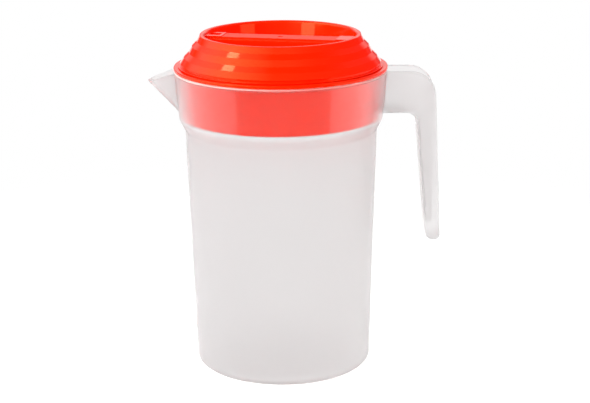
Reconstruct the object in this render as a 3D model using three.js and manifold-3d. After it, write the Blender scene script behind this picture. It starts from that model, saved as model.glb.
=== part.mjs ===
// Two-litre plastic pitcher with a lid that turns and lifts off.
// Millimetres, +Z up, origin in the middle of the flat base, beak towards -X, handle towards +X.
import * as THREE from 'three';
import { mergeVertices } from 'three/addons/utils/BufferGeometryUtils.js';
import Module from 'manifold-3d';

const wasm = await Module();
wasm.setup();

// Vessel and collar: the driving radius and height, with steps, flare and wall taken from them
const vesselRadius = 67.4;
const vesselTaper = 4.9;
const baseCorner = 4;
const rimHeight = 213;
const collarHeight = 33.5;
const collarStep = 4.2;
const collarFlare = 2;
const shoulderHeight = 8.5;
const shoulderBend = 5;
const rimLip = 0.7;
const rimLipHeight = 1.5;
const bodyWall = 2;
const floorThickness = 2.4;
const floorCorner = 6;

// Beak: a rounded V in plan that leans out along its keel, with a sloping lip
const beakFootRise = 3.5;
const beakJut = 21.8;
const beakTipDrop = 7;
const beakHalfAngle = 13;
const beakNose = 8;
const beakWall = 1.8;
const beakDepth = 60;

// Handle: a hook that is open at its lower end and cored from above
const handleWidth = 27;
const handleWall = 2.2;
const handleEdge = 1.6;
const armDrop = 0.4;
const armDepth = 29.5;
const gripStandOff = 40.8;
const gripLength = 121.9;
const gripLean = 5.2;
const gripTopThickness = 14.1;
const gripEndThickness = 10.3;
const gripOuterBend = 18;
const gripInnerBend = 8;
const gripEndOuterBend = 3.6;
const gripEndInnerBend = 5;
const troughEndRise = 13.3;
const troughEndWidth = 3;
const troughEndBend = 1;

// Lid: seating ring, stepped dome, finger recess and skirt
const lidTurn = -12.7;
const lidWall = 1.8;
const seatGap = 0.3;
const ringOverhang = 1.1;
const ringHeight = 2.4;
const ringSlope = 0.5;
const ringRound = 0.9;
const ribHeight = 0.7;
const ribOverhang = 1.2;
const grooveHeight = 1.3;
const grooveDepth = 0.6;
const lidHeight = 25;
const lipInset = 14.4;
const lipWidth = 3.2;
const lipRound = 1.2;
const lipInnerRound = 2;
const lipDepth = 3.8;
const lipHollow = 1;
const recessDraft = 4;
const recessDepth = 21.5;
const recessCorner = 3;
const skirtGap = 1.4;
const skirtTaper = 1.9;
const skirtClear = 0.5;
const snapRidge = 0.6;
const snapHeight = 1.4;

// Dome steps, as shares of the way out and down from the lip to the dome's foot
const tierOut = [0.16, 0.39, 0.55, 0.79];
const tierDown = [0.22, 0.385, 0.6, 0.77];
const tierRound = 0.6;

// Grip bar across the recess, with a raised pad at each end
const barDrop = 2.6;
const barTopWidth = 15.5;
const barLedge = 2.4;
const barLedgeDrop = 1.4;
const barDraft = 0.8;
const padLength = 12;
const padRise = 0.5;
const windowLength = 8;
const windowWidth = 8;
const windowDepth = 0.9;

// Pour opening in the skirt, under the bar's framed end
const pourHalfAngle = 20;
const pourTopDrop = 5;
const pourCorner = 5;

// Facets round a full turn, a small bend and a rounded edge
const turnFacets = 60;
const bendFacets = 4;
const edgeFacets = 2;

// How far cutting solids run past what they cut, and how close points count as one
const overlap = 10;
const weldDistance = 1e-4;

const radians = THREE.MathUtils.degToRad;

// Radii and heights of the vessel that follow from the sizes above
const baseRadius = vesselRadius - vesselTaper;
const collarRadius = vesselRadius + collarStep;
const rimRadius = collarRadius + collarFlare;
const collarFoot = rimHeight - collarHeight;
const vesselHeight = collarFoot - shoulderHeight;
const beakFoot = collarFoot + beakFootRise;
const beakReach = collarRadius + beakJut;
const beakTipHeight = rimHeight - beakTipDrop;

// Replaces each corner [x, y, bend] of an outline by an arc of that radius
function roundedPoints(corners, closed, facets = bendFacets) {
  const points = [];
  const count = corners.length;
  corners.forEach(([x, y, bend = 0], i) => {
    const corner = new THREE.Vector2(x, y);
    const isEnd = !closed && (i === 0 || i === count - 1);
    if (isEnd || bend === 0) {
      points.push(corner);
      return;
    }
    const before = new THREE.Vector2(...corners[(i + count - 1) % count]);
    const after = new THREE.Vector2(...corners[(i + 1) % count]);
    const toBefore = before.sub(corner).normalize();
    const toAfter = after.sub(corner).normalize();
    const half = Math.acos(THREE.MathUtils.clamp(toBefore.dot(toAfter), -1, 1)) / 2;
    const centre = toBefore.clone().add(toAfter).normalize();
    centre.multiplyScalar(bend / Math.sin(half)).add(corner);
    const start = corner.clone().addScaledVector(toBefore, bend / Math.tan(half)).sub(centre);
    const end = corner.clone().addScaledVector(toAfter, bend / Math.tan(half)).sub(centre);
    let sweep = end.angle() - start.angle();
    sweep -= 2 * Math.PI * Math.round(sweep / (2 * Math.PI));
    for (let k = 0; k <= facets; k += 1) {
      points.push(start.clone().rotateAround(new THREE.Vector2(), (sweep * k) / facets).add(centre));
    }
  });
  return points;
}

// A solid for joining and cutting, from any closed geometry
function solid(geometry) {
  const bare = geometry.index ? geometry.toNonIndexed() : geometry.clone();
  bare.deleteAttribute('normal');
  bare.deleteAttribute('uv');
  const merged = mergeVertices(bare, weldDistance);
  const vertProperties = new Float32Array(merged.attributes.position.array);
  const corners = Array.from(merged.index.array);
  const triVerts = [];
  for (let i = 0; i < corners.length; i += 3) {
    const [a, b, c] = corners.slice(i, i + 3);
    if (a !== b && b !== c && c !== a) {
      triVerts.push(a, b, c);
    }
  }
  const mesh = new wasm.Mesh({ numProp: 3, vertProperties, triVerts: new Uint32Array(triVerts) });
  return new wasm.Manifold(mesh);
}

// The geometry of a finished solid
function geometryOf(manifold) {
  const { vertProperties, triVerts } = manifold.getMesh();
  const geometry = new THREE.BufferGeometry();
  geometry.setAttribute('position', new THREE.BufferAttribute(vertProperties, 3));
  geometry.setIndex(new THREE.BufferAttribute(triVerts, 1));
  geometry.computeVertexNormals();
  return geometry;
}

// A solid of revolution about Z from an outline of [radius, height, bend] corners
function revolve(corners, closed = false) {
  const points = roundedPoints(corners, closed);
  if (closed) {
    points.push(points[0].clone());
  }
  const geometry = new THREE.LatheGeometry(points, turnFacets);
  geometry.rotateX(Math.PI / 2);
  return solid(geometry);
}

// An outline in the XZ plane, made thick along Y about the middle plane
function sidePlate(corners, width, edge = 0) {
  const shape = new THREE.Shape(roundedPoints(corners, true));
  const geometry = new THREE.ExtrudeGeometry(shape, {
    depth: width - 2 * edge,
    bevelEnabled: edge > 0,
    bevelThickness: edge,
    bevelSize: edge,
    bevelOffset: -edge,
    bevelSegments: edgeFacets,
  });
  geometry.translate(0, 0, edge - width / 2);
  geometry.rotateX(Math.PI / 2);
  return solid(geometry);
}

// An outline in the YZ plane, made long along X between two places
function crossPlate(corners, from, to) {
  const shape = new THREE.Shape(roundedPoints(corners, true));
  const geometry = new THREE.ExtrudeGeometry(shape, { depth: to - from, bevelEnabled: false });
  geometry.applyMatrix4(new THREE.Matrix4().set(0, 0, 1, from, 1, 0, 0, 0, 0, 1, 0, 0, 0, 0, 0, 1));
  return solid(geometry);
}

// Vessel wall: taper, shoulder and collar, as a solid bounded by its outside or its inside
function vesselOutside() {
  return revolve([
    [0, 0],
    [baseRadius, 0, baseCorner],
    [vesselRadius, vesselHeight, shoulderBend],
    [collarRadius, collarFoot, shoulderBend],
    [rimRadius, rimHeight - rimLipHeight],
    [rimRadius + rimLip, rimHeight - rimLipHeight + rimLip / 2],
    [rimRadius + rimLip, rimHeight],
    [0, rimHeight],
  ]);
}

function vesselInside() {
  return revolve([
    [0, floorThickness],
    [baseRadius - bodyWall, floorThickness, floorCorner],
    [vesselRadius - bodyWall, vesselHeight + bodyWall / 2, shoulderBend],
    [collarRadius - bodyWall, collarFoot + bodyWall / 2, shoulderBend],
    [rimRadius - bodyWall, rimHeight],
    [rimRadius - bodyWall, rimHeight + overlap],
    [0, rimHeight + overlap],
  ]);
}

// Beak: the plan of a rounded V, extruded and sheared along the keel
function beakPrism(inset, lift) {
  const keelRun = (beakReach - collarRadius) / (beakTipHeight - beakFoot);
  const nose = beakNose - inset;
  const sharpTip = -collarRadius - nose * (1 / Math.sin(radians(beakHalfAngle)) - 1) + inset;
  const halfBack = beakDepth * Math.tan(radians(beakHalfAngle));
  const plan = new THREE.Shape(roundedPoints([
    [sharpTip, 0, nose],
    [sharpTip + beakDepth, -halfBack],
    [sharpTip + beakDepth, halfBack],
  ], true));
  const height = rimHeight - beakFoot + overlap;
  const geometry = new THREE.ExtrudeGeometry(plan, { depth: height, bevelEnabled: false });
  const lean = new THREE.Matrix4().set(1, 0, -keelRun, 0, 0, 1, 0, 0, 0, 0, 1, beakFoot + lift, 0, 0, 0, 1);
  geometry.applyMatrix4(lean);
  return solid(geometry);
}

// Everything above the beak's lip, which slopes from the rim down to the tip
function aboveBeakLip() {
  const slope = (rimHeight - beakTipHeight) / (beakReach - rimRadius);
  const far = 2 * beakReach;
  const above = rimHeight + 2 * overlap;
  return sidePlate([
    [0, rimHeight],
    [-rimRadius, rimHeight],
    [-far, rimHeight - slope * (far - rimRadius)],
    [-far, above],
    [0, above],
  ], 2 * rimRadius);
}

// Handle outline: arm, outer edge, rounded end and inner edge
const armTop = rimHeight - armDrop;
const armFloor = armTop - armDepth;
const gripReach = collarRadius + gripStandOff;
const gripEndHeight = armTop - gripLength;
const troughEndHeight = gripEndHeight + troughEndRise;
const gripEdgeAt = (height) => gripReach - gripLean * ((height - gripEndHeight) / (armTop - gripEndHeight));
const gripInnerTop = gripEdgeAt(armFloor) - gripTopThickness;
const gripInnerEnd = gripReach - gripEndThickness;

function handleOutside() {
  const root = collarRadius - overlap;
  return sidePlate([
    [root, armFloor],
    [gripInnerTop, armFloor, gripInnerBend],
    [gripInnerEnd, gripEndHeight, gripEndInnerBend],
    [gripReach, gripEndHeight, gripEndOuterBend],
    [gripEdgeAt(armTop), armTop, gripOuterBend],
    [root, armTop],
  ], handleWidth, handleEdge);
}

// The hollow of the handle, straight up out of the arm and narrowing down the grip
function handleTrough() {
  const root = collarRadius - overlap;
  const outer = gripEdgeAt(armTop) - handleWall;
  const innerLean = (gripInnerEnd - gripInnerTop) / (armFloor - gripEndHeight);
  const innerEnd = gripInnerTop + innerLean * (armFloor - troughEndHeight) + handleWall;
  return sidePlate([
    [root, armFloor + handleWall],
    [gripInnerTop + handleWall, armFloor + handleWall, gripInnerBend],
    [innerEnd, troughEndHeight, troughEndBend],
    [Math.max(outer, innerEnd + troughEndWidth), troughEndHeight, troughEndBend],
    [outer, rimHeight + overlap],
    [root, rimHeight + overlap],
  ], handleWidth - 2 * handleWall);
}

function pitcherBody() {
  const vessel = vesselOutside();
  const beak = beakPrism(0, 0).subtract(aboveBeakLip());
  const channel = beakPrism(beakWall, beakWall);
  const trough = handleTrough().subtract(vessel);
  return vessel
    .add(beak)
    .add(handleOutside())
    .subtract(vesselInside())
    .subtract(channel)
    .subtract(trough);
}

// Levels and radii that the ring, the dome and the skirt share
const ringFoot = rimHeight + seatGap;
const ringTop = ringFoot + ringHeight;
const ringRadius = rimRadius + ringOverhang;
const domeFoot = ringTop + seatGap;
const ribTop = domeFoot + ribHeight;
const domeEdge = ribTop + grooveHeight;
const lidTop = rimHeight + lidHeight;
const skirtTopRadius = rimRadius - bodyWall - skirtGap;
const skirtEndRadius = skirtTopRadius - skirtTaper;
const skirtEnd = collarFoot + skirtClear;
const lipRadius = skirtTopRadius - lipInset;
const recessRadius = lipRadius - lipWidth;
const recessFloor = lidTop - recessDepth;

function lidRing() {
  const inside = skirtTopRadius + seatGap;
  return revolve([
    [inside, ringFoot],
    [ringRadius, ringFoot, ringRound],
    [ringRadius, ringTop - ringSlope, ringRound],
    [inside, ringTop],
  ], true);
}

// Dome, recess and skirt as one thin wall turned about the axis
function capShell() {
  const tiers = tierOut.map((share, i) => [
    THREE.MathUtils.lerp(lipRadius, skirtTopRadius, share),
    THREE.MathUtils.lerp(lidTop, domeEdge, tierDown[i]),
    tierRound,
  ]);
  const underTier = ([radius, height]) => [radius - lidWall, height - lidWall / 2];
  const grooveRadius = skirtTopRadius - grooveDepth;
  const hollowTop = lidTop - lipDepth;
  const hollowRadius = recessRadius - recessDraft * (lipDepth / recessDepth) + lidWall;
  const outline = [
    [0, recessFloor],
    [recessRadius - recessDraft, recessFloor, recessCorner],
    [recessRadius, lidTop, lipInnerRound],
    [lipRadius, lidTop, lipRound],
    ...tiers,
    [skirtTopRadius, domeEdge],
    [grooveRadius, domeEdge],
    [grooveRadius, ribTop],
    [skirtTopRadius + ribOverhang, ribTop],
    [skirtTopRadius + ribOverhang, domeFoot],
    [skirtTopRadius, domeFoot],
    [skirtTopRadius, rimHeight],
    [skirtTopRadius + snapRidge, rimHeight - snapHeight / 2],
    [skirtTopRadius, rimHeight - snapHeight],
    [skirtEndRadius, skirtEnd],
    [skirtEndRadius - lidWall, skirtEnd],
    [skirtTopRadius - lidWall, domeFoot],
    [grooveRadius - lidWall, domeEdge],
    underTier(tiers[2]),
    underTier(tiers[0]),
    [hollowRadius + lipHollow, hollowTop],
    [hollowRadius, hollowTop],
    [recessRadius - recessDraft + lidWall, recessFloor - lidWall, recessCorner],
    [0, recessFloor - lidWall],
  ];
  return revolve(outline.reverse());
}

// Section of the grip bar, inset by a wall for its hollow, from a foot height up to its ledged top
const barTop = lidTop - barDrop;

function barSection(inset, foot) {
  const halfTop = barTopWidth / 2 - inset;
  const ledge = barTop - barLedgeDrop - inset;
  const halfFoot = halfTop + barLedge + barDraft;
  return [
    [-halfFoot, foot],
    [halfFoot, foot],
    [halfTop + barLedge, ledge],
    [halfTop, ledge],
    [halfTop, barTop - inset],
    [-halfTop, barTop - inset],
    [-halfTop, ledge],
    [-halfTop - barLedge, ledge],
  ];
}

// A raised pad on the bar, from its end at the recess wall inwards
function barPad(side) {
  const halfWidth = barTopWidth / 2;
  const section = [
    [-halfWidth, barTop - padRise],
    [halfWidth, barTop - padRise],
    [halfWidth, barTop + padRise],
    [-halfWidth, barTop + padRise],
  ];
  const inner = recessRadius - padLength;
  const outer = recessRadius + lidWall / 2;
  return side < 0 ? crossPlate(section, -outer, -inner) : crossPlate(section, inner, outer);
}

// The sunk square in the pad over the pour opening
function padWindow() {
  const halfWidth = windowWidth / 2;
  const middle = -recessRadius + padLength / 2;
  const floor = barTop + padRise - windowDepth;
  const section = [
    [-halfWidth, floor],
    [halfWidth, floor],
    [halfWidth, floor + overlap],
    [-halfWidth, floor + overlap],
  ];
  return crossPlate(section, middle - windowLength / 2, middle + windowLength / 2);
}

// The opening through the skirt, open at the skirt's lower edge
function pourOpening() {
  const halfWidth = skirtTopRadius * Math.sin(radians(pourHalfAngle));
  const top = rimHeight - pourTopDrop;
  const section = [
    [-halfWidth, skirtEnd - overlap],
    [halfWidth, skirtEnd - overlap],
    [halfWidth, top, pourCorner],
    [-halfWidth, top, pourCorner],
  ];
  return crossPlate(section, -rimRadius - overlap, -skirtTopRadius * Math.cos(radians(2 * pourHalfAngle)));
}

function lidCap() {
  const recessPlug = revolve([
    [0, recessFloor - lidWall],
    [recessRadius - recessDraft + lidWall / 2, recessFloor - lidWall],
    [recessRadius + lidWall / 2, lidTop],
    [0, lidTop],
  ]);
  const bar = crossPlate(barSection(0, recessFloor - lidWall), -ringRadius, ringRadius)
    .add(barPad(-1))
    .add(barPad(1))
    .intersect(recessPlug);
  const hollowReach = recessRadius - recessDraft - lidWall;
  const hollow = crossPlate(barSection(lidWall, recessFloor - overlap), -hollowReach, hollowReach);
  return capShell()
    .add(bar)
    .subtract(hollow)
    .subtract(padWindow())
    .subtract(pourOpening());
}

// Frosted natural plastic for the body, glossy orange-red for the lid
function plastic(colour, roughness) {
  return new THREE.MeshStandardMaterial({ color: colour, roughness, metalness: 0 });
}

function piece(name, manifold, material) {
  const mesh = new THREE.Mesh(geometryOf(manifold), material);
  mesh.name = name;
  return mesh;
}

const pitcher = new THREE.Group();
pitcher.add(piece('pitcher_body', pitcherBody(), plastic(0xe4e2e2, 0.45)));
pitcher.add(piece('lid_ring', lidRing(), plastic(0xf8360c, 0.25)));

const turnedLid = new THREE.Group();
turnedLid.rotation.z = radians(lidTurn);
turnedLid.add(piece('lid_cap', lidCap(), plastic(0xfa3208, 0.25)));
pitcher.add(turnedLid);

export default pitcher;
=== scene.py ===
from math import acos, atan2, cos, pi, radians, sin, sqrt, tan

import bmesh
import bpy
from mathutils import Matrix, Quaternion, Vector


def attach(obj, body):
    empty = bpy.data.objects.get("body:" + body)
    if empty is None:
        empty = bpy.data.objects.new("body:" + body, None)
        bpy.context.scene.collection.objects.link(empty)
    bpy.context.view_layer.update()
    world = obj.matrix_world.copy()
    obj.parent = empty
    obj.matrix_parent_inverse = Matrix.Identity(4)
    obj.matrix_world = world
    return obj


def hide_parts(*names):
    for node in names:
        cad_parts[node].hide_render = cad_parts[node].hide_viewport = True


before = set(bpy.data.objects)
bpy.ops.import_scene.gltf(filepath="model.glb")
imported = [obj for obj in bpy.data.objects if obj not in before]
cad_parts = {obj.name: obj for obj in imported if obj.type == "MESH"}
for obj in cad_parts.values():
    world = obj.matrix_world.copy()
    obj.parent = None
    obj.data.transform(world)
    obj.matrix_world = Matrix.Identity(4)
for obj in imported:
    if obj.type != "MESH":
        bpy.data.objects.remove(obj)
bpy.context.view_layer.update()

mm = 0.001  # sizes below are in millimetres
weldGap = 1e-7  # metres, points nearer than this are one
axisGap = 1e-6  # points nearer than this lie on the axis


# small helpers for outlines and meshes

def bendCorners(corners, facets=6, closed=False):
    # each corner is (x, y) or (x, y, bend radius)
    points = []
    count = len(corners)
    for i, corner in enumerate(corners):
        at = Vector(corner[:2])
        bend = corner[2] if len(corner) > 2 else 0
        isEnd = not closed and i in (0, count - 1)
        if isEnd or bend == 0:
            points.append(at)
            continue
        toBefore = (Vector(corners[i - 1][:2]) - at).normalized()
        toAfter = (Vector(corners[(i + 1) % count][:2]) - at).normalized()
        half = acos(max(-1, min(1, toBefore.dot(toAfter)))) / 2
        middle = at + (toBefore + toAfter).normalized() * (bend / sin(half))
        start = at + toBefore * (bend / tan(half)) - middle
        end = at + toAfter * (bend / tan(half)) - middle
        sweep = atan2(start.x * end.y - start.y * end.x, start.dot(end))
        for k in range(facets + 1):
            turn = sweep * k / facets
            points.append(middle + Vector((
                start.x * cos(turn) - start.y * sin(turn),
                start.x * sin(turn) + start.y * cos(turn),
            )))
    return points


def splitLong(points, step):
    # adds points on stretches longer than step
    fine = [points[0]]
    for a, b in zip(points, points[1:]):
        parts = max(1, round((b - a).length / step))
        fine += [a.lerp(b, k / parts) for k in range(1, parts + 1)]
    return fine


def newPiece(name, verts, faces, smoothAngle=35):
    mesh = bpy.data.meshes.new(name)
    mesh.from_pydata([Vector(v) * mm for v in verts], [], faces)
    piece = bpy.data.objects.new(name, mesh)
    bpy.context.scene.collection.objects.link(piece)
    tidyMesh(piece, smoothAngle)
    return piece


def tidyMesh(piece, smoothAngle):
    work = bmesh.new()
    work.from_mesh(piece.data)
    bmesh.ops.remove_doubles(work, verts=work.verts, dist=weldGap)
    bmesh.ops.recalc_face_normals(work, faces=work.faces)
    work.to_mesh(piece.data)
    work.free()
    piece.data.shade_smooth()
    piece.data.set_sharp_from_angle(angle=radians(smoothAngle))


def turnOutline(name, outline, facets, closed=False, smoothAngle=35):
    # a solid of revolution from (radius, height) points
    turns = [2 * pi * k / facets for k in range(facets)]
    verts = []
    rows = []
    for p in outline:
        if p.x < axisGap:
            rows.append([len(verts)] * facets)
            verts.append((0, 0, p.y))
            continue
        rows.append(range(len(verts), len(verts) + facets))
        verts += [(p.x * cos(t), p.x * sin(t), p.y) for t in turns]
    return newPiece(name, verts, rowFaces(rows, closed), smoothAngle)


def rowFaces(rows, closed=False):
    faces = []
    pairs = list(zip(rows, rows[1:])) + ([(rows[-1], rows[0])] if closed else [])
    for low, high in pairs:
        for k in range(len(low)):
            n = (k + 1) % len(low)
            ring = list(dict.fromkeys([low[k], low[n], high[n], high[k]]))
            if len(ring) > 2:
                faces.append(ring)
    return faces


def prism(name, outline, low, high, toPoint, edge=0, edgeSteps=4):
    # an outline made thick, with its two rims rounded by edge
    count = len(outline)
    inward = []
    for i, p in enumerate(outline):
        along = (outline[(i + 1) % count] - outline[i - 1]).normalized()
        inward.append(Vector((-along.y, along.x)))
    layers = [(low, edge), (high, edge)]
    if edge:
        turns = [pi / 2 * k / edgeSteps for k in range(edgeSteps + 1)]
        lower = [(low + edge * (1 - sin(t)), edge * (1 - cos(t))) for t in reversed(turns)]
        upper = [(high - edge * (1 - sin(t)), edge * (1 - cos(t))) for t in turns]
        layers = lower + upper
    verts = []
    rows = []
    for across, inset in layers:
        rows.append(range(len(verts), len(verts) + count))
        verts += [toPoint(p + n * inset, across) for p, n in zip(outline, inward)]
    faces = rowFaces(rows) + [list(rows[0]), list(rows[-1])]
    return newPiece(name, verts, faces)


def combine(piece, other, operation):
    # joins or cuts, and drops the second mesh
    step = piece.modifiers.new("combine", "BOOLEAN")
    step.operation = operation
    step.solver = "EXACT"
    step.object = other
    applyAll(piece)
    bpy.data.objects.remove(other)


def applyAll(piece):
    graph = bpy.context.evaluated_depsgraph_get()
    done = bpy.data.meshes.new_from_object(piece.evaluated_get(graph))
    piece.modifiers.clear()
    piece.data = done


def keepFlats(piece):
    # large faces set the shading, so flats stay flat beside small rounded edges
    step = piece.modifiers.new("keepFlats", "WEIGHTED_NORMAL")
    step.mode = "FACE_AREA"
    step.weight = 100
    step.keep_sharp = True
    applyAll(piece)


def smoothMax(a, b, blend):
    near = max(blend - abs(a - b), 0) / blend
    return max(a, b) + near * near * blend / 4


# camera at the photograph's viewing angle

cameraSetup = {
    "place": (9.27, -1052.6, 418.0),
    "target": (9.27, 0.0, 116.2),
    "focalPixels": 1530,
    "imageWidth": 590,
    "sensorWidth": 36,
    "roll": -0.45,
}


def makeCamera(setup):
    data = bpy.data.cameras.new("photoCamera")
    data.sensor_width = setup["sensorWidth"]
    data.lens = setup["focalPixels"] * data.sensor_width / setup["imageWidth"]
    camera = bpy.data.objects.new("photoCamera", data)
    place = Vector(setup["place"]) * mm
    aim = (Vector(setup["target"]) * mm - place).to_track_quat("-Z", "Y")
    camera.location = place
    camera.rotation_euler = (aim @ Quaternion((0, 0, 1), radians(setup["roll"]))).to_euler()
    bpy.context.scene.collection.objects.link(camera)
    bpy.context.scene.camera = camera


makeCamera(cameraSetup)
print("camera placed")


# pitcher body: vessel, collar and beak as one thin wall, then the hollow hook handle

bodySize = {
    "baseRadius": 62.5,
    "baseCorner": 4,
    "vesselRadius": 67.4,
    "vesselHeight": 171,
    "collarRadius": 71.6,
    "collarFoot": 179.5,
    "shoulderBend": 5,
    "rimRadius": 73.6,
    "rimHeight": 213,
    "rimLip": 0.7,
    "rimLipHeight": 1.5,
    "rimLipBelow": 0.3,
    "rimLipAbove": 0.2,
    "rimLipBend": 0.4,
    "rimLipCorner": 0.3,
    "rimRound": 0.8,
    "rimSteps": 8,
    "wall": 2,
    "floor": 2.4,
    "floorCorner": 6,
    "rowStep": 4,
    "smoothAngle": 40,
}

beakSize = {
    "foot": 183,
    "reach": 93.4,
    "tipHeight": 206,
    "halfAngle": radians(13),
    "nose": 8,
    "wall": 1.8,
    "fillet": 1.2,
    "spread": radians(22),
    "rowsBelow": 8,
    "stretchBelow": 4,
    "lipTries": 20,
    "columns": 90,
    "crowding": 1.6,
    "otherColumns": 150,
}

handleSize = {
    "width": 27,
    "wall": 2.2,
    "edge": 2,
    "armDrop": 0.4,
    "armDepth": 29.5,
    "gripReach": 112.4,
    "gripLean": 5.2,
    "gripEnd": 90.7,
    "topThickness": 14.1,
    "endThickness": 10.3,
    "outerBend": 18,
    "innerBend": 8,
    "endOuterBend": 3.6,
    "endInnerBend": 5,
    "troughEnd": 104,
    "troughEndWidth": 3,
    "troughEndBend": 1,
    "troughGap": 0.1,
    "troughPast": 10,
    "rootDepth": 1.5,
    "bendFacets": 12,
}


def beakRadius(height, turn, inset):
    # distance from the axis to the beak's wall, at an angle from its middle
    b = beakSize
    run = (b["reach"] - bodySize["collarRadius"]) / (b["tipHeight"] - b["foot"])
    nose = b["nose"] - inset
    tip = bodySize["collarRadius"] + (height - inset - b["foot"]) * run - inset
    middle = tip - nose
    if middle < nose:
        return 0
    touch = atan2(nose * cos(b["halfAngle"]), middle + nose * sin(b["halfAngle"]))
    if abs(turn) < touch:
        return middle * cos(turn) + sqrt(max(nose ** 2 - (middle * sin(turn)) ** 2, 0))
    sharp = middle + nose / sin(b["halfAngle"])
    return sharp * sin(b["halfAngle"]) / sin(abs(turn) + b["halfAngle"])


def wallRadius(plain, height, turn, inset):
    # the plain wall, or the beak where it reaches further out
    b = beakSize
    if abs(turn) > b["spread"] * 2 or height < b["foot"] - b["rowsBelow"]:
        return plain
    return smoothMax(plain, beakRadius(height, turn, inset), b["fillet"])


def lipHeight(turn):
    # the beak's lip slopes from the rim down to its tip
    s = bodySize
    slope = (s["rimHeight"] - beakSize["tipHeight"]) / (beakSize["reach"] - s["rimRadius"])
    height = s["rimHeight"]
    for _ in range(beakSize["lipTries"]):
        out = wallRadius(s["rimRadius"], height, turn, 0) - s["rimRadius"]
        height = (height + s["rimHeight"] - slope * max(out, 0)) / 2
    return height


def bodyColumns():
    # angles from the beak's middle, close together round its nose
    b = beakSize
    near = []
    for k in range(b["columns"]):
        u = 2 * k / b["columns"] - 1
        near.append(b["spread"] * (1 if u > 0 else -1) * abs(u) ** b["crowding"])
    rest = 2 * pi - 2 * b["spread"]
    far = [b["spread"] + rest * k / b["otherColumns"] for k in range(b["otherColumns"])]
    return near + far


def signedTurn(turn):
    return turn if turn <= pi else turn - 2 * pi


def makeBodyWall():
    s = bodySize
    top = s["rimHeight"] - s["rimRound"]
    lipFoot = s["rimHeight"] - s["rimLipHeight"]
    outer = splitLong(bendCorners([
        (0, 0),
        (s["baseRadius"], 0, s["baseCorner"]),
        (s["vesselRadius"], s["vesselHeight"], s["shoulderBend"]),
        (s["collarRadius"], s["collarFoot"], s["shoulderBend"]),
        (s["rimRadius"], lipFoot - s["rimLipBelow"], s["rimLipBend"]),
        (s["rimRadius"] + s["rimLip"], lipFoot + s["rimLipAbove"], s["rimLipCorner"]),
        (s["rimRadius"] + s["rimLip"], top),
    ]), s["rowStep"])
    inner = splitLong(bendCorners([
        (0, s["floor"]),
        (s["baseRadius"] - s["wall"], s["floor"], s["floorCorner"]),
        (s["vesselRadius"] - s["wall"], s["vesselHeight"] + s["wall"] / 2, s["shoulderBend"]),
        (s["collarRadius"] - s["wall"], s["collarFoot"] + s["wall"] / 2, s["shoulderBend"]),
        (s["rimRadius"] - s["wall"], top),
    ]), s["rowStep"])
    columns = bodyColumns()
    lips = [lipHeight(signedTurn(t)) for t in columns]
    stretchFoot = beakSize["foot"] - beakSize["stretchBelow"]
    verts = []
    rows = []

    def addRow(point, inset):
        if point.x < axisGap:
            rows.append([len(verts)] * len(columns))
            verts.append((0, 0, point.y))
            return
        rows.append(range(len(verts), len(verts) + len(columns)))
        for turn, lip in zip(columns, lips):
            height = point.y
            if height > stretchFoot:
                share = (height - stretchFoot) / (s["rimHeight"] - stretchFoot)
                height = stretchFoot + share * (lip - stretchFoot)
            r = wallRadius(point.x, height, signedTurn(turn), inset)
            verts.append((-r * cos(turn), -r * sin(turn), height))

    for point in outer:
        addRow(point, 0)
    lastOut = rows[-1]
    for k in range(1, s["rimSteps"]):
        over = pi * k / s["rimSteps"]
        share = (1 - cos(over)) / 2
        rows.append(range(len(verts), len(verts) + len(columns)))
        for turn, outside in zip(columns, lastOut):
            out = Vector(verts[outside])
            r = wallRadius(s["rimRadius"] - s["wall"], out.z, signedTurn(turn), beakSize["wall"])
            into = Vector((-r * cos(turn), -r * sin(turn), out.z))
            mid = out.lerp(into, share)
            verts.append((mid.x, mid.y, mid.z + s["rimRound"] * sin(over)))
    for point in reversed(inner):
        addRow(point, beakSize["wall"])
    return newPiece("pitcherBody", verts, rowFaces(rows), s["smoothAngle"])


def handleEdges():
    # arm heights, and where the grip's two edges run
    h = handleSize
    top = bodySize["rimHeight"] - h["armDrop"]
    floor = top - h["armDepth"]
    outerTop = h["gripReach"] - h["gripLean"]
    outerFloor = h["gripReach"] - h["gripLean"] * (floor - h["gripEnd"]) / (top - h["gripEnd"])
    innerTop = outerFloor - h["topThickness"]
    innerEnd = h["gripReach"] - h["endThickness"]
    return top, floor, outerTop, innerTop, innerEnd


def collarAt(height):
    s = bodySize
    share = (height - s["collarFoot"]) / (s["rimHeight"] - s["rimLipHeight"] - s["collarFoot"])
    return s["collarRadius"] + share * (s["rimRadius"] - s["collarRadius"])


def sideways(p, across):
    return (p.x, across, p.y)


def makeHandle():
    h = handleSize
    top, floor, outerTop, innerTop, innerEnd = handleEdges()
    outline = bendCorners([
        (collarAt(floor) - h["rootDepth"], floor),
        (innerTop, floor, h["innerBend"]),
        (innerEnd, h["gripEnd"], h["endInnerBend"]),
        (h["gripReach"], h["gripEnd"], h["endOuterBend"]),
        (outerTop, top, h["outerBend"]),
        (collarAt(top) - h["rootDepth"], top),
    ], h["bendFacets"], True)
    handle = prism("handle", outline, -h["width"] / 2, h["width"] / 2, sideways, h["edge"])
    lean = (innerEnd - innerTop) / (floor - h["gripEnd"])
    hollowIn = innerTop + lean * (floor - h["troughEnd"]) + h["wall"]
    hollowOut = outerTop - h["wall"]
    above = top + h["troughPast"]
    hollow = bendCorners([
        (collarAt(floor) + h["troughGap"], floor + h["wall"]),
        (innerTop + h["wall"], floor + h["wall"], h["innerBend"]),
        (hollowIn, h["troughEnd"], h["troughEndBend"]),
        (max(hollowOut, hollowIn + h["troughEndWidth"]), h["troughEnd"], h["troughEndBend"]),
        (hollowOut, above),
        (collarAt(above) + h["troughGap"], above),
    ], h["bendFacets"], True)
    half = h["width"] / 2 - h["wall"]
    combine(handle, prism("trough", hollow, -half, half, sideways), "DIFFERENCE")
    return handle


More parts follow.
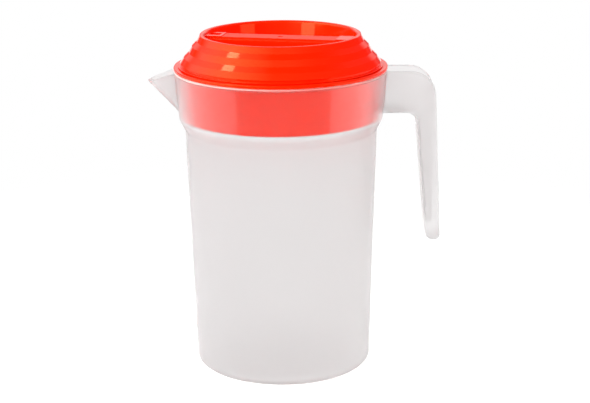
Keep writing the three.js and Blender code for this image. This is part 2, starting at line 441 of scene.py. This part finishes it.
collarFinish = {
    "edge": 1,
    "glossFrom": 20,
    "glossTo": 36,
    "paintedRimMargin": 0.2,
}


def markCollar(body):
    # the collar is polished, the rest is frosted, and its gloss ends beside beak and handle
    c = collarFinish
    foot = bodySize["collarFoot"] - c["edge"]
    reach = bodySize["rimRadius"] + c["edge"]
    finish = []
    gloss = []
    for vert in body.data.vertices:
        at = vert.co / mm
        onCollar = float(at.z > foot and Vector(at[:2]).length < reach)
        share = (abs(at.y) - c["glossFrom"]) / (c["glossTo"] - c["glossFrom"])
        finish.append(onCollar)
        gloss.append(onCollar * min(max(share, 0), 1))
    for name, values in (("finish", finish), ("gloss", gloss)):
        body.data.attributes.new(name, "FLOAT", "POINT").data.foreach_set("value", values)


def paintRimLight(body, material):
    # the rim bead is thick; its paler, pinker, less clear material is painted light, standing in for
    # light gathered in the bead and tinted by the orange lid
    s = bodySize
    body.data.materials.append(material)
    for face in body.data.polygons:
        at = face.center / mm
        onRim = abs(Vector(at[:2]).length - s["rimRadius"]) < s["rimLip"] + collarFinish["paintedRimMargin"]
        if onRim and at.z > s["rimHeight"] - s["rimRound"]:
            face.material_index = 1


def makeBody():
    body = makeBodyWall()
    combine(body, makeHandle(), "UNION")
    tidyMesh(body, bodySize["smoothAngle"])
    keepFlats(body)
    markCollar(body)
    return body


body = makeBody()
print("pitcher body", len(body.data.polygons), "faces")


# lid: seating ring, then the cap with its dome, recess, grip bar and skirt

lidSize = {
    "turn": radians(-12.7),
    "wall": 1.8,
    "seatGap": 0.3,
    "height": 25,
    "lipInset": 14.4,
    "lipWidth": 3.2,
    "lipRound": 1.2,
    "lipInnerRound": 2,
    "lipDepth": 3.8,
    "lipHollow": 1,
    "recessDraft": 4,
    "recessDepth": 21.5,
    "recessCorner": 3,
    "tierOut": [0.16, 0.39, 0.55, 0.79],
    "tierDown": [0.22, 0.385, 0.6, 0.77],
    "tierRound": 0.5,
    "ribHeight": 0.7,
    "ribOverhang": 1.2,
    "grooveHeight": 1.3,
    "grooveDepth": 0.6,
    "skirtGap": 1.4,
    "skirtTaper": 1.9,
    "skirtClear": 0.5,
    "snapRidge": 0.6,
    "snapHeight": 1.4,
    "domeRound": 0.3,
    "ribRound": 0.2,
    "snapRound": 0.4,
    "skirtRound": 0.5,
    "insideRound": 0.6,
    "hollowRound": 0.3,
    "cutPast": 10,
    "facets": 240,
    "bendFacets": 5,
    "rowStep": 6,
    "smoothAngle": 30,
}

ringSize = {
    "overhang": 1.1,
    "height": 2.4,
    "round": 0.85,
    "turnFacets": 240,
    "roundFacets": 8,
    "smoothAngle": 40,
}

barSize = {
    "drop": 2.6,
    "topWidth": 15.5,
    "ledge": 2.4,
    "ledgeDrop": 1.4,
    "draft": 0.8,
    "round": 0.35,
    "padLength": 12,
    "padRise": 0.5,
    "padSink": 0.6,
    "windowLength": 8,
    "windowWidth": 8,
    "windowDepth": 0.9,
    "windowPast": 5,
    "gateRadius": 1.8,
    "gateDepth": 0.35,
    "gatePast": 1,
    "gateFacets": 32,
    "bendFacets": 4,
    "satinGap": 0.05,
    "satinFacing": 0.9,
}

pourSize = {
    "halfAngle": radians(20),
    "topDrop": 5,
    "corner": 5,
    "past": 90,
}

rimTop = bodySize["rimHeight"]
ringFoot = rimTop + lidSize["seatGap"]
ringTop = ringFoot + ringSize["height"]
ringRadius = bodySize["rimRadius"] + ringSize["overhang"]
domeFoot = ringTop + lidSize["seatGap"]
ribTop = domeFoot + lidSize["ribHeight"]
domeEdge = ribTop + lidSize["grooveHeight"]
lidTop = rimTop + lidSize["height"]
skirtTop = bodySize["rimRadius"] - bodySize["wall"] - lidSize["skirtGap"]
skirtEnd = bodySize["collarFoot"] + lidSize["skirtClear"]
lipRadius = skirtTop - lidSize["lipInset"]
recessRadius = lipRadius - lidSize["lipWidth"]
recessFloor = lidTop - lidSize["recessDepth"]
barTop = lidTop - barSize["drop"]


def ringTree():
    # a rounded band swept round a circle
    tree = bpy.data.node_groups.new("seatingRing", "GeometryNodeTree")
    face = tree.interface
    face.new_socket("Geometry", in_out="OUTPUT", socket_type="NodeSocketGeometry")
    for name in ("Path Radius", "Band Width", "Band Height", "Round", "Middle Height"):
        face.new_socket(name, in_out="INPUT", socket_type="NodeSocketFloat")
    face.new_socket("Turn Facets", in_out="INPUT", socket_type="NodeSocketInt")
    face.new_socket("Round Facets", in_out="INPUT", socket_type="NodeSocketInt")
    face.new_socket("Material", in_out="INPUT", socket_type="NodeSocketMaterial")
    node = tree.nodes.new
    link = tree.links.new
    given = node("NodeGroupInput").outputs
    path = node("GeometryNodeCurvePrimitiveCircle")
    link(given["Turn Facets"], path.inputs["Resolution"])
    link(given["Path Radius"], path.inputs["Radius"])
    band = node("GeometryNodeCurvePrimitiveQuadrilateral")
    link(given["Band Width"], band.inputs["Width"])
    link(given["Band Height"], band.inputs["Height"])
    soften = node("GeometryNodeFilletCurve")
    soften.mode = "POLY"
    link(band.outputs["Curve"], soften.inputs["Curve"])
    link(given["Round"], soften.inputs["Radius"])
    link(given["Round Facets"], soften.inputs["Count"])
    sweep = node("GeometryNodeCurveToMesh")
    link(path.outputs["Curve"], sweep.inputs["Curve"])
    link(soften.outputs["Curve"], sweep.inputs["Profile Curve"])
    lift = node("ShaderNodeCombineXYZ")
    link(given["Middle Height"], lift.inputs["Z"])
    place = node("GeometryNodeTransform")
    link(sweep.outputs["Mesh"], place.inputs["Geometry"])
    link(lift.outputs["Vector"], place.inputs["Translation"])
    whole = node("GeometryNodeRealizeInstances")
    link(place.outputs["Geometry"], whole.inputs["Geometry"])
    coat = node("GeometryNodeSetMaterial")
    link(whole.outputs["Geometry"], coat.inputs["Geometry"])
    link(given["Material"], coat.inputs["Material"])
    link(coat.outputs["Geometry"], node("NodeGroupOutput").inputs["Geometry"])
    return tree


def makeRing(material):
    inside = skirtTop + lidSize["seatGap"]
    values = {
        "Path Radius": (inside + ringRadius) / 2 * mm,
        "Band Width": (ringRadius - inside) * mm,
        "Band Height": ringSize["height"] * mm,
        "Round": ringSize["round"] * mm,
        "Middle Height": (ringFoot + ringSize["height"] / 2) * mm,
        "Turn Facets": ringSize["turnFacets"],
        "Round Facets": ringSize["roundFacets"],
        "Material": material,
    }
    ring = newPiece("lidRing", [], [])
    step = ring.modifiers.new("seatingRing", "NODES")
    step.node_group = ringTree()
    for socket in step.node_group.interface.items_tree:
        if socket.in_out == "INPUT":
            step[socket.identifier] = values[socket.name]
    applyAll(ring)
    tidyMesh(ring, ringSize["smoothAngle"])
    keepFlats(ring)
    return ring


def underTier(tier):
    # the dome's inner face, one wall inside a tier's edge
    return (tier[0] - lidSize["wall"], tier[1] - lidSize["wall"] / 2)


def capOutline():
    # half of the cap's section, from the recess over the dome to the skirt and back inside
    z = lidSize
    tiers = [
        (lipRadius + out * (skirtTop - lipRadius), lidTop + down * (domeEdge - lidTop), z["tierRound"])
        for out, down in zip(z["tierOut"], z["tierDown"])
    ]
    grooveRadius = skirtTop - z["grooveDepth"]
    ribRadius = skirtTop + z["ribOverhang"]
    skirtLow = skirtTop - z["skirtTaper"]
    hollowTop = lidTop - z["lipDepth"]
    hollowRadius = recessRadius - z["recessDraft"] * z["lipDepth"] / z["recessDepth"] + z["wall"]
    return bendCorners([
        (0, recessFloor),
        (recessRadius - z["recessDraft"], recessFloor, z["recessCorner"]),
        (recessRadius, lidTop, z["lipInnerRound"]),
        (lipRadius, lidTop, z["lipRound"]),
        *tiers,
        (skirtTop, domeEdge, z["domeRound"]),
        (grooveRadius, domeEdge, z["ribRound"]),
        (grooveRadius, ribTop, z["ribRound"]),
        (ribRadius, ribTop, z["ribRound"]),
        (ribRadius, domeFoot, z["ribRound"]),
        (skirtTop, domeFoot, z["ribRound"]),
        (skirtTop, rimTop),
        (skirtTop + z["snapRidge"], rimTop - z["snapHeight"] / 2, z["snapRound"]),
        (skirtTop, rimTop - z["snapHeight"]),
        (skirtLow, skirtEnd, z["skirtRound"]),
        (skirtLow - z["wall"], skirtEnd, z["skirtRound"]),
        (skirtTop - z["wall"], domeFoot, z["insideRound"]),
        (grooveRadius - z["wall"], domeEdge, z["insideRound"]),
        underTier(tiers[2]),
        underTier(tiers[0]),
        (hollowRadius + z["lipHollow"], hollowTop, z["hollowRound"]),
        (hollowRadius, hollowTop, z["hollowRound"]),
        (recessRadius - z["recessDraft"] + z["wall"], recessFloor - z["wall"], z["recessCorner"]),
        (0, recessFloor - z["wall"]),
    ], z["bendFacets"])


def barSection(inset, foot):
    # the bar's top and its two side ledges
    half = barSize["topWidth"] / 2 - inset
    ledge = barTop - barSize["ledgeDrop"] - inset
    wide = half + barSize["ledge"]
    bend = barSize["round"]
    return bendCorners([
        (-wide - barSize["draft"], foot),
        (wide + barSize["draft"], foot),
        (wide, ledge, bend),
        (half, ledge, bend),
        (half, barTop - inset, bend),
        (-half, barTop - inset, bend),
        (-half, ledge, bend),
        (-wide, ledge, bend),
    ], barSize["bendFacets"], True)


def lengthways(p, along):
    return (along, p.x, p.y)


def barBlock(name, halfWidth, low, high, start, end, bend):
    section = bendCorners([
        (-halfWidth, low),
        (halfWidth, low),
        (halfWidth, high, bend),
        (-halfWidth, high, bend),
    ], barSize["bendFacets"], True)
    return prism(name, section, start, end, lengthways)


def makeBar():
    b = barSize
    reach = recessRadius + lidSize["wall"] / 2
    bar = prism("gripBar", barSection(0, recessFloor - lidSize["wall"]), -reach, reach, lengthways)
    inner = recessRadius - b["padLength"]
    for start, end in ((-reach, -inner), (inner, reach)):
        low = barTop - b["padSink"]
        high = barTop + b["padRise"]
        pad = barBlock("pad", b["topWidth"] / 2, low, high, start, end, b["round"])
        combine(bar, pad, "UNION")
    middle = -recessRadius + b["padLength"] / 2
    floor = barTop + b["padRise"] - b["windowDepth"]
    start = middle - b["windowLength"] / 2
    end = start + b["windowLength"]
    window = barBlock("window", b["windowWidth"] / 2, floor, floor + b["windowPast"], start, end, 0)
    combine(bar, window, "DIFFERENCE")
    gate = turnOutline("gateMark", bendCorners([
        (0, barTop - b["gateDepth"]),
        (b["gateRadius"], barTop - b["gateDepth"]),
        (b["gateRadius"], barTop + b["gatePast"]),
        (0, barTop + b["gatePast"]),
    ]), b["gateFacets"])
    combine(bar, gate, "DIFFERENCE")
    plug = turnOutline("recessPlug", bendCorners([
        (0, recessFloor - lidSize["wall"]),
        (reach - lidSize["recessDraft"], recessFloor - lidSize["wall"]),
        (reach, lidTop),
        (0, lidTop),
    ]), lidSize["facets"])
    combine(bar, plug, "INTERSECT")
    return bar


def makeCap():
    z = lidSize
    outline = splitLong(capOutline(), z["rowStep"])
    cap = turnOutline("lidCap", outline, z["facets"], False, z["smoothAngle"])
    combine(cap, makeBar(), "UNION")
    hollowEnd = recessRadius - z["recessDraft"] - z["wall"]
    section = barSection(z["wall"], recessFloor - z["cutPast"])
    hollow = prism("barHollow", section, -hollowEnd, hollowEnd, lengthways)
    combine(cap, hollow, "DIFFERENCE")
    half = skirtTop * sin(pourSize["halfAngle"])
    near = -skirtTop * cos(2 * pourSize["halfAngle"])
    low = skirtEnd - z["cutPast"]
    high = rimTop - pourSize["topDrop"]
    pour = barBlock("pour", half, low, high, -pourSize["past"], near, pourSize["corner"])
    combine(cap, pour, "DIFFERENCE")
    tidyMesh(cap, z["smoothAngle"])
    keepFlats(cap)
    markSatin(cap)
    cap.data.transform(Matrix.Rotation(z["turn"], 4, "Z"))
    return cap


def markSatin(cap):
    # the bar's flat top between its pads is duller than the rest
    b = barSize
    inner = recessRadius - b["padLength"]
    finish = cap.data.attributes.new("finish", "FLOAT", "FACE")
    for face, mark in zip(cap.data.polygons, finish.data):
        at = face.center / mm
        onTop = abs(at.z - barTop) < b["satinGap"] and face.normal.z > b["satinFacing"]
        mark.value = 1.0 if onTop and abs(at.x) < inner else 0.0


# shader steps that the plastics, the floor and the surround share

def feed(tree, socket, value):
    # a number is set, another node's output is linked
    if isinstance(value, (int, float)):
        socket.default_value = value
    else:
        tree.links.new(value, socket)


def calc(tree, operation, *values):
    step = tree.nodes.new("ShaderNodeMath")
    step.operation = operation
    for socket, value in zip(step.inputs, values):
        feed(tree, socket, value)
    return step.outputs["Value"]


def remap(tree, value, start, end, low=0, high=1, smooth=False):
    # start to end becomes low to high, and it holds beyond
    step = tree.nodes.new("ShaderNodeMapRange")
    step.interpolation_type = "SMOOTHSTEP" if smooth else "LINEAR"
    for name, limit in (("From Min", start), ("From Max", end), ("To Min", low), ("To Max", high)):
        step.inputs[name].default_value = limit
    tree.links.new(value, step.inputs["Value"])
    return step.outputs["Result"]


def mixed(tree, share, a, b):
    step = tree.nodes.new("ShaderNodeMix")
    for name, value in (("Factor", share), ("A", a), ("B", b)):
        feed(tree, step.inputs[name], value)
    return step.outputs["Result"]


def attributeOf(tree, name):
    step = tree.nodes.new("ShaderNodeAttribute")
    step.attribute_name = name
    return step.outputs["Fac"]


# plastics: a shared moulded grain, then the two finishes

grainInputs = ("Grain Scale", "Cloud Scale", "Cloud Amount", "Roughness")
grainSetup = {
    "grainDetail": 3,
    "cloudDetail": 4,
    "cloudMiddle": 0.5,
}


def grainGroup(setup):
    # fine moulded skin and slow cloudy tone, for both plastics
    tree = bpy.data.node_groups.new("mouldedGrain", "ShaderNodeTree")
    face = tree.interface
    for name in grainInputs:
        face.new_socket(name, in_out="INPUT", socket_type="NodeSocketFloat")
    face.new_socket("Color", in_out="INPUT", socket_type="NodeSocketColor")
    face.new_socket("Color", in_out="OUTPUT", socket_type="NodeSocketColor")
    face.new_socket("Roughness", in_out="OUTPUT", socket_type="NodeSocketFloat")
    face.new_socket("Height", in_out="OUTPUT", socket_type="NodeSocketFloat")
    node = tree.nodes.new
    link = tree.links.new
    given = node("NodeGroupInput").outputs
    made = node("NodeGroupOutput").inputs
    spot = node("ShaderNodeTexCoord").outputs["Object"]
    noises = []
    for scale, detail in (("Grain Scale", "grainDetail"), ("Cloud Scale", "cloudDetail")):
        noise = node("ShaderNodeTexNoise")
        noise.inputs["Detail"].default_value = setup[detail]
        link(spot, noise.inputs["Vector"])
        link(given[scale], noise.inputs["Scale"])
        noises.append(noise.outputs["Fac"])
    grain, cloud = noises
    centred = calc(tree, "SUBTRACT", cloud, setup["cloudMiddle"])
    swing = calc(tree, "MULTIPLY_ADD", centred, given["Cloud Amount"], 1)
    tone = node("ShaderNodeMix")
    tone.data_type = "RGBA"
    tone.blend_type = "MULTIPLY"
    tone.inputs["Factor"].default_value = 1
    link(given["Color"], tone.inputs["A"])
    link(swing, tone.inputs["B"])
    link(tone.outputs["Result"], made["Color"])
    link(calc(tree, "MULTIPLY", given["Roughness"], swing), made["Roughness"])
    link(grain, made["Height"])
    return tree


def plastic(name, grain, look):
    material = bpy.data.materials.new(name)
    material.use_nodes = True
    tree = material.node_tree
    link = tree.links.new
    shader = tree.nodes["Principled BSDF"]
    skin = tree.nodes.new("ShaderNodeGroup")
    skin.node_tree = grain
    skin.inputs["Color"].default_value = (*look["colour"], 1)
    for socket in grainInputs:
        skin.inputs[socket].default_value = look[socket]
    link(skin.outputs["Color"], shader.inputs["Base Color"])
    finish = attributeOf(tree, "finish")
    rough = calc(tree, "MULTIPLY_ADD", finish, look["finishRoughness"], skin.outputs["Roughness"])
    link(rough, shader.inputs["Roughness"])
    if look.get("glossCoat"):
        coat = calc(tree, "MULTIPLY_ADD", attributeOf(tree, "gloss"), look["glossCoat"], look["coat"])
        link(coat, shader.inputs["Coat Weight"])
    bump = tree.nodes.new("ShaderNodeBump")
    bump.inputs["Strength"].default_value = look["bump"]
    bump.inputs["Distance"].default_value = look["bumpDepth"] * mm
    link(skin.outputs["Height"], bump.inputs["Height"])
    link(bump.outputs["Normal"], shader.inputs["Normal"])
    for socket, value in look["fixed"].items():
        shader.inputs[socket].default_value = value
    return material


frostedLook = {
    "colour": (0.898, 0.883, 0.882),
    "Grain Scale": 1400.0,
    "Cloud Scale": 14.0,
    "Cloud Amount": 0.04,
    "Roughness": 0.62,
    "finishRoughness": -0.34,
    "coat": 0.1,
    "glossCoat": 0.8,
    "bump": 0.1,
    "bumpDepth": 0.04,
    "fixed": {
        "Transmission Weight": 1.0,
        "IOR": 1.4,
        "Specular IOR Level": 0.2,
        "Coat Roughness": 0.04,
        "Coat IOR": 1.45,
    },
}

orangeLook = {
    "colour": (0.95, 0.0105, 0.0003),
    "Grain Scale": 700.0,
    "Cloud Scale": 9.0,
    "Cloud Amount": 0.06,
    "Roughness": 0.06,
    "finishRoughness": 0.4,
    "bump": 0.02,
    "bumpDepth": 0.02,
    "fixed": {
        "IOR": 1.49,
        "Specular Tint": (1.0, 0.72, 0.2, 1.0),
    },
}

# painted light: a paler, pinker, less clear frosted plastic for the rim bead, standing in for light
# gathered in the thick bead and tinted by the orange lid
paintedRimLightLook = {
    **frostedLook,
    "colour": (0.95, 0.72, 0.68),
    "glossCoat": 0,
    "fixed": {
        **frostedLook["fixed"],
        "Transmission Weight": 0.6,
    },
}

grain = grainGroup(grainSetup)
frosted = plastic("frostedPlastic", grain, frostedLook)
frostedPaintedRimLight = plastic("frostedPaintedRimLight", grain, paintedRimLightLook)
orange = plastic("orangePlastic", grain, orangeLook)

ring = makeRing(orange)
cap = makeCap()
print("lid", len(ring.data.polygons), "and", len(cap.data.polygons), "faces")

pieces = (
    (body, "pitcher", "pitcher_body", "frosted_plastic", frosted),
    (ring, "lid_seat", "lid_ring", "orange_plastic", orange),
    (cap, "lid", "lid_cap", "orange_plastic", orange),
)
for piece, rider, node, slot, material in pieces:
    piece.data.materials.clear()
    piece.data.materials.append(material)
    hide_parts(node)
    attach(piece, rider)
# the rim bead gets the painted-light material
paintRimLight(body, frostedPaintedRimLight)
print("pieces ride on their bodies")


# pale floor, soft boxes and a white surround, sizes in metres

floorSetup = {
    "size": 1.6,
    "fadeFrom": 0.2,
    "fadeTo": 0.55,
    "drop": 0.15,  # millimetres below the base
    "throughPlastic": 1.0,
    "roughness": 0.9,
    "colour": (0.93, 0.93, 0.93, 1),
}

allRays = ("diffuse", "glossy", "transmission")
lampSetup = {
    "left": {
        "place": (-0.85, -0.25, -0.03),
        "target": (0, -0.25, -0.03),
        "size": (1.0, 0.62),
        "power": 2.2,
    },
    "right": {
        "place": (0.85, -0.1, -0.03),
        "target": (0, -0.1, -0.03),
        "size": (1.0, 0.62),
        "power": 2.2,
    },
    "leftFront": {
        "place": (-0.714, -0.7, 0.56),
        "target": (0, 0, 0.23),
        "size": (0.42, 0.38),
        "power": 2.1,
        "rays": ("glossy",),
        "colour": (0.6, 0.72, 1.0),
    },
    "rightFront": {
        "place": (0.82, -0.57, 0.56),
        "target": (0, 0, 0.23),
        "size": (0.46, 0.4),
        "power": 0.8,
    },
    "leftBack": {
        "place": (-0.85, 0.85, -0.105),
        "target": (0, 0.85, -0.105),
        "size": (1.2, 0.51),
        "power": 2.2,
        "rays": ("glossy",),
    },
    "rightBack": {
        "place": (0.85, 1.0, -0.105),
        "target": (0, 1.0, -0.105),
        "size": (1.2, 0.51),
        "power": 2.3,
        "rays": ("glossy",),
    },
    "strip": {
        "place": (-0.62, 0.09, 1.13),
        "target": (0, 0, 0.2),
        "size": (0.14, 0.35),
        "power": 1.0,
    },
    "key": {
        "place": (-1.0, -0.45, 0.6),
        "target": (0, 0, 0.2),
        "size": (0.5, 0.5),
        "power": 23,
        "rays": ("diffuse",),
    },
}

worldSetup = {
    "fill": 1.1,
    "backFrom": 0.72,
    "backTo": 1.0,
    "backLevel": 1.35,
    "throughFront": 0.7,
    "frontFrom": -0.85,
    "frontTo": -0.35,
    "throughBounce": 3.1,
    "aboveFrom": 0.03,
    "aboveTo": 0.3,
    "belowFrom": 0.03,
    "belowTo": -0.05,
    "leftFrom": -0.12,
    "leftTo": -0.78,
    "leftLevel": 2.7,
    "leftFoot": 0.15,
    "leftTop": 0.3,
    "leftNear": -0.2,
    "leftFar": 0.88,
    "sideFrom": 0.15,
    "sideTo": 0.6,
    "sideLevel": 0.35,
    "frontRamp": ((0.0, 0.08), (0.35, 0.2), (0.7, 0.58), (0.88, 0.05), (1.0, 0.0)),
}


def makeFloor(setup):
    # fades into the white surround, plain white through the plastic, clear from below
    half = setup["size"] / 2 / mm
    corners = ((-half, -half), (half, -half), (half, half), (-half, half))
    floor = newPiece("floor", [(x, y, -setup["drop"]) for x, y in corners], [[0, 1, 2, 3]])
    paint = bpy.data.materials.new("paleFloor")
    paint.use_nodes = True
    tree = paint.node_tree
    node = tree.nodes.new
    link = tree.links.new
    shader = tree.nodes["Principled BSDF"]
    shader.inputs["Base Color"].default_value = setup["colour"]
    shader.inputs["Roughness"].default_value = setup["roughness"]
    shader.inputs["Specular IOR Level"].default_value = 0
    away = node("ShaderNodeVectorMath")
    away.operation = "LENGTH"
    link(node("ShaderNodeTexCoord").outputs["Object"], away.inputs[0])
    fade = remap(tree, away.outputs["Value"], setup["fadeFrom"], setup["fadeTo"], 1, 0, True)
    link(fade, shader.inputs["Alpha"])
    through = node("ShaderNodeEmission")
    through.inputs["Strength"].default_value = setup["throughPlastic"]
    upper = node("ShaderNodeMixShader")
    link(node("ShaderNodeLightPath").outputs["Is Transmission Ray"], upper.inputs["Fac"])
    link(shader.outputs["BSDF"], upper.inputs[1])
    link(through.outputs["Emission"], upper.inputs[2])
    either = node("ShaderNodeMixShader")
    link(node("ShaderNodeNewGeometry").outputs["Backfacing"], either.inputs["Fac"])
    link(upper.outputs["Shader"], either.inputs[1])
    link(node("ShaderNodeBsdfTransparent").outputs["BSDF"], either.inputs[2])
    link(either.outputs["Shader"], tree.nodes["Material Output"].inputs["Surface"])
    floor.data.materials.append(paint)


def makeLamps(setup):
    # a lamp that names rays is met by those alone
    for name, lamp in setup.items():
        data = bpy.data.lights.new(name, "AREA")
        data.shape = "RECTANGLE"
        data.size, data.size_y = lamp["size"]
        data.energy = lamp["power"]
        data.color = lamp.get("colour", (1, 1, 1))
        box = bpy.data.objects.new(name, data)
        place = Vector(lamp["place"])
        box.location = place
        box.rotation_euler = (Vector(lamp["target"]) - place).to_track_quat("-Z", "Y").to_euler()
        metBy = lamp.get("rays", allRays)
        for ray in allRays:
            setattr(box, "visible_" + ray, ray in metBy)
        bpy.context.scene.collection.objects.link(box)


def heightRamp(tree, height, stops):
    # brightness of the front by height
    ramp = tree.nodes.new("ShaderNodeValToRGB")
    elements = ramp.color_ramp.elements
    for at, _ in stops[1:-1]:
        elements.new(at)
    for element, (at, level) in zip(elements, stops):
        element.position = at
        element.color = (level, level, level, 1)
    tree.links.new(height, ramp.inputs["Fac"])
    return ramp.outputs["Color"]


def makeWorld(setup):
    # white to the camera, a plain fill as light, other levels in reflections and through plastic
    w = setup
    world = bpy.data.worlds.new("whiteSurround")
    bpy.context.scene.world = world
    world.use_nodes = True
    tree = world.node_tree
    sky = tree.nodes["Background"]
    sky.inputs["Color"].default_value = (1, 1, 1, 1)
    path = tree.nodes.new("ShaderNodeLightPath").outputs
    axes = tree.nodes.new("ShaderNodeSeparateXYZ")
    tree.links.new(tree.nodes.new("ShaderNodeTexCoord").outputs["Generated"], axes.inputs["Vector"])
    x, y, z = axes.outputs
    # in reflections: a bright back with a dim horizon, a ramp in front, a wash from the left
    back = remap(tree, y, w["backFrom"], w["backTo"], 0, w["backLevel"], True)
    above = remap(tree, z, w["aboveFrom"], w["aboveTo"])
    below = remap(tree, z, w["belowFrom"], w["belowTo"])
    wall = calc(tree, "MULTIPLY", back, calc(tree, "MAXIMUM", above, below))
    aside = calc(tree, "ABSOLUTE", x)
    dim = remap(tree, aside, w["sideFrom"], w["sideTo"], 1, w["sideLevel"])
    ahead = calc(tree, "MULTIPLY", heightRamp(tree, z, w["frontRamp"]), dim)
    glow = calc(tree, "MAXIMUM", wall, ahead)
    left = remap(tree, x, w["leftFrom"], w["leftTo"], 0, w["leftLevel"])
    rise = remap(tree, z, w["leftFoot"], w["leftTop"])
    depth = remap(tree, y, w["leftFar"], w["leftNear"])
    wash = calc(tree, "MULTIPLY_ADD", left, calc(tree, "MULTIPLY", rise, depth), glow)
    shine = mixed(tree, path["Is Glossy Ray"], w["fill"], wash)
    # through the plastic: dimmer towards the front, brighter for light that a surface has spread
    clear = remap(tree, y, w["frontFrom"], w["frontTo"], w["throughFront"], 1, True)
    spread = calc(tree, "MINIMUM", path["Diffuse Depth"], 1)
    through = mixed(tree, spread, clear, w["throughBounce"])
    unseen = mixed(tree, path["Is Transmission Ray"], shine, through)
    seen = mixed(tree, path["Is Camera Ray"], unseen, 1)
    tree.links.new(seen, sky.inputs["Strength"])


makeFloor(floorSetup)
makeLamps(lampSetup)
makeWorld(worldSetup)
bpy.context.scene.view_settings.view_transform = "Standard"
# light bounces often inside the clear walls
bpy.context.scene.cycles.max_bounces = 24
bpy.context.scene.cycles.glossy_bounces = 16
bpy.context.scene.cycles.transmission_bounces = 24
print("floor, lamps and surround set")
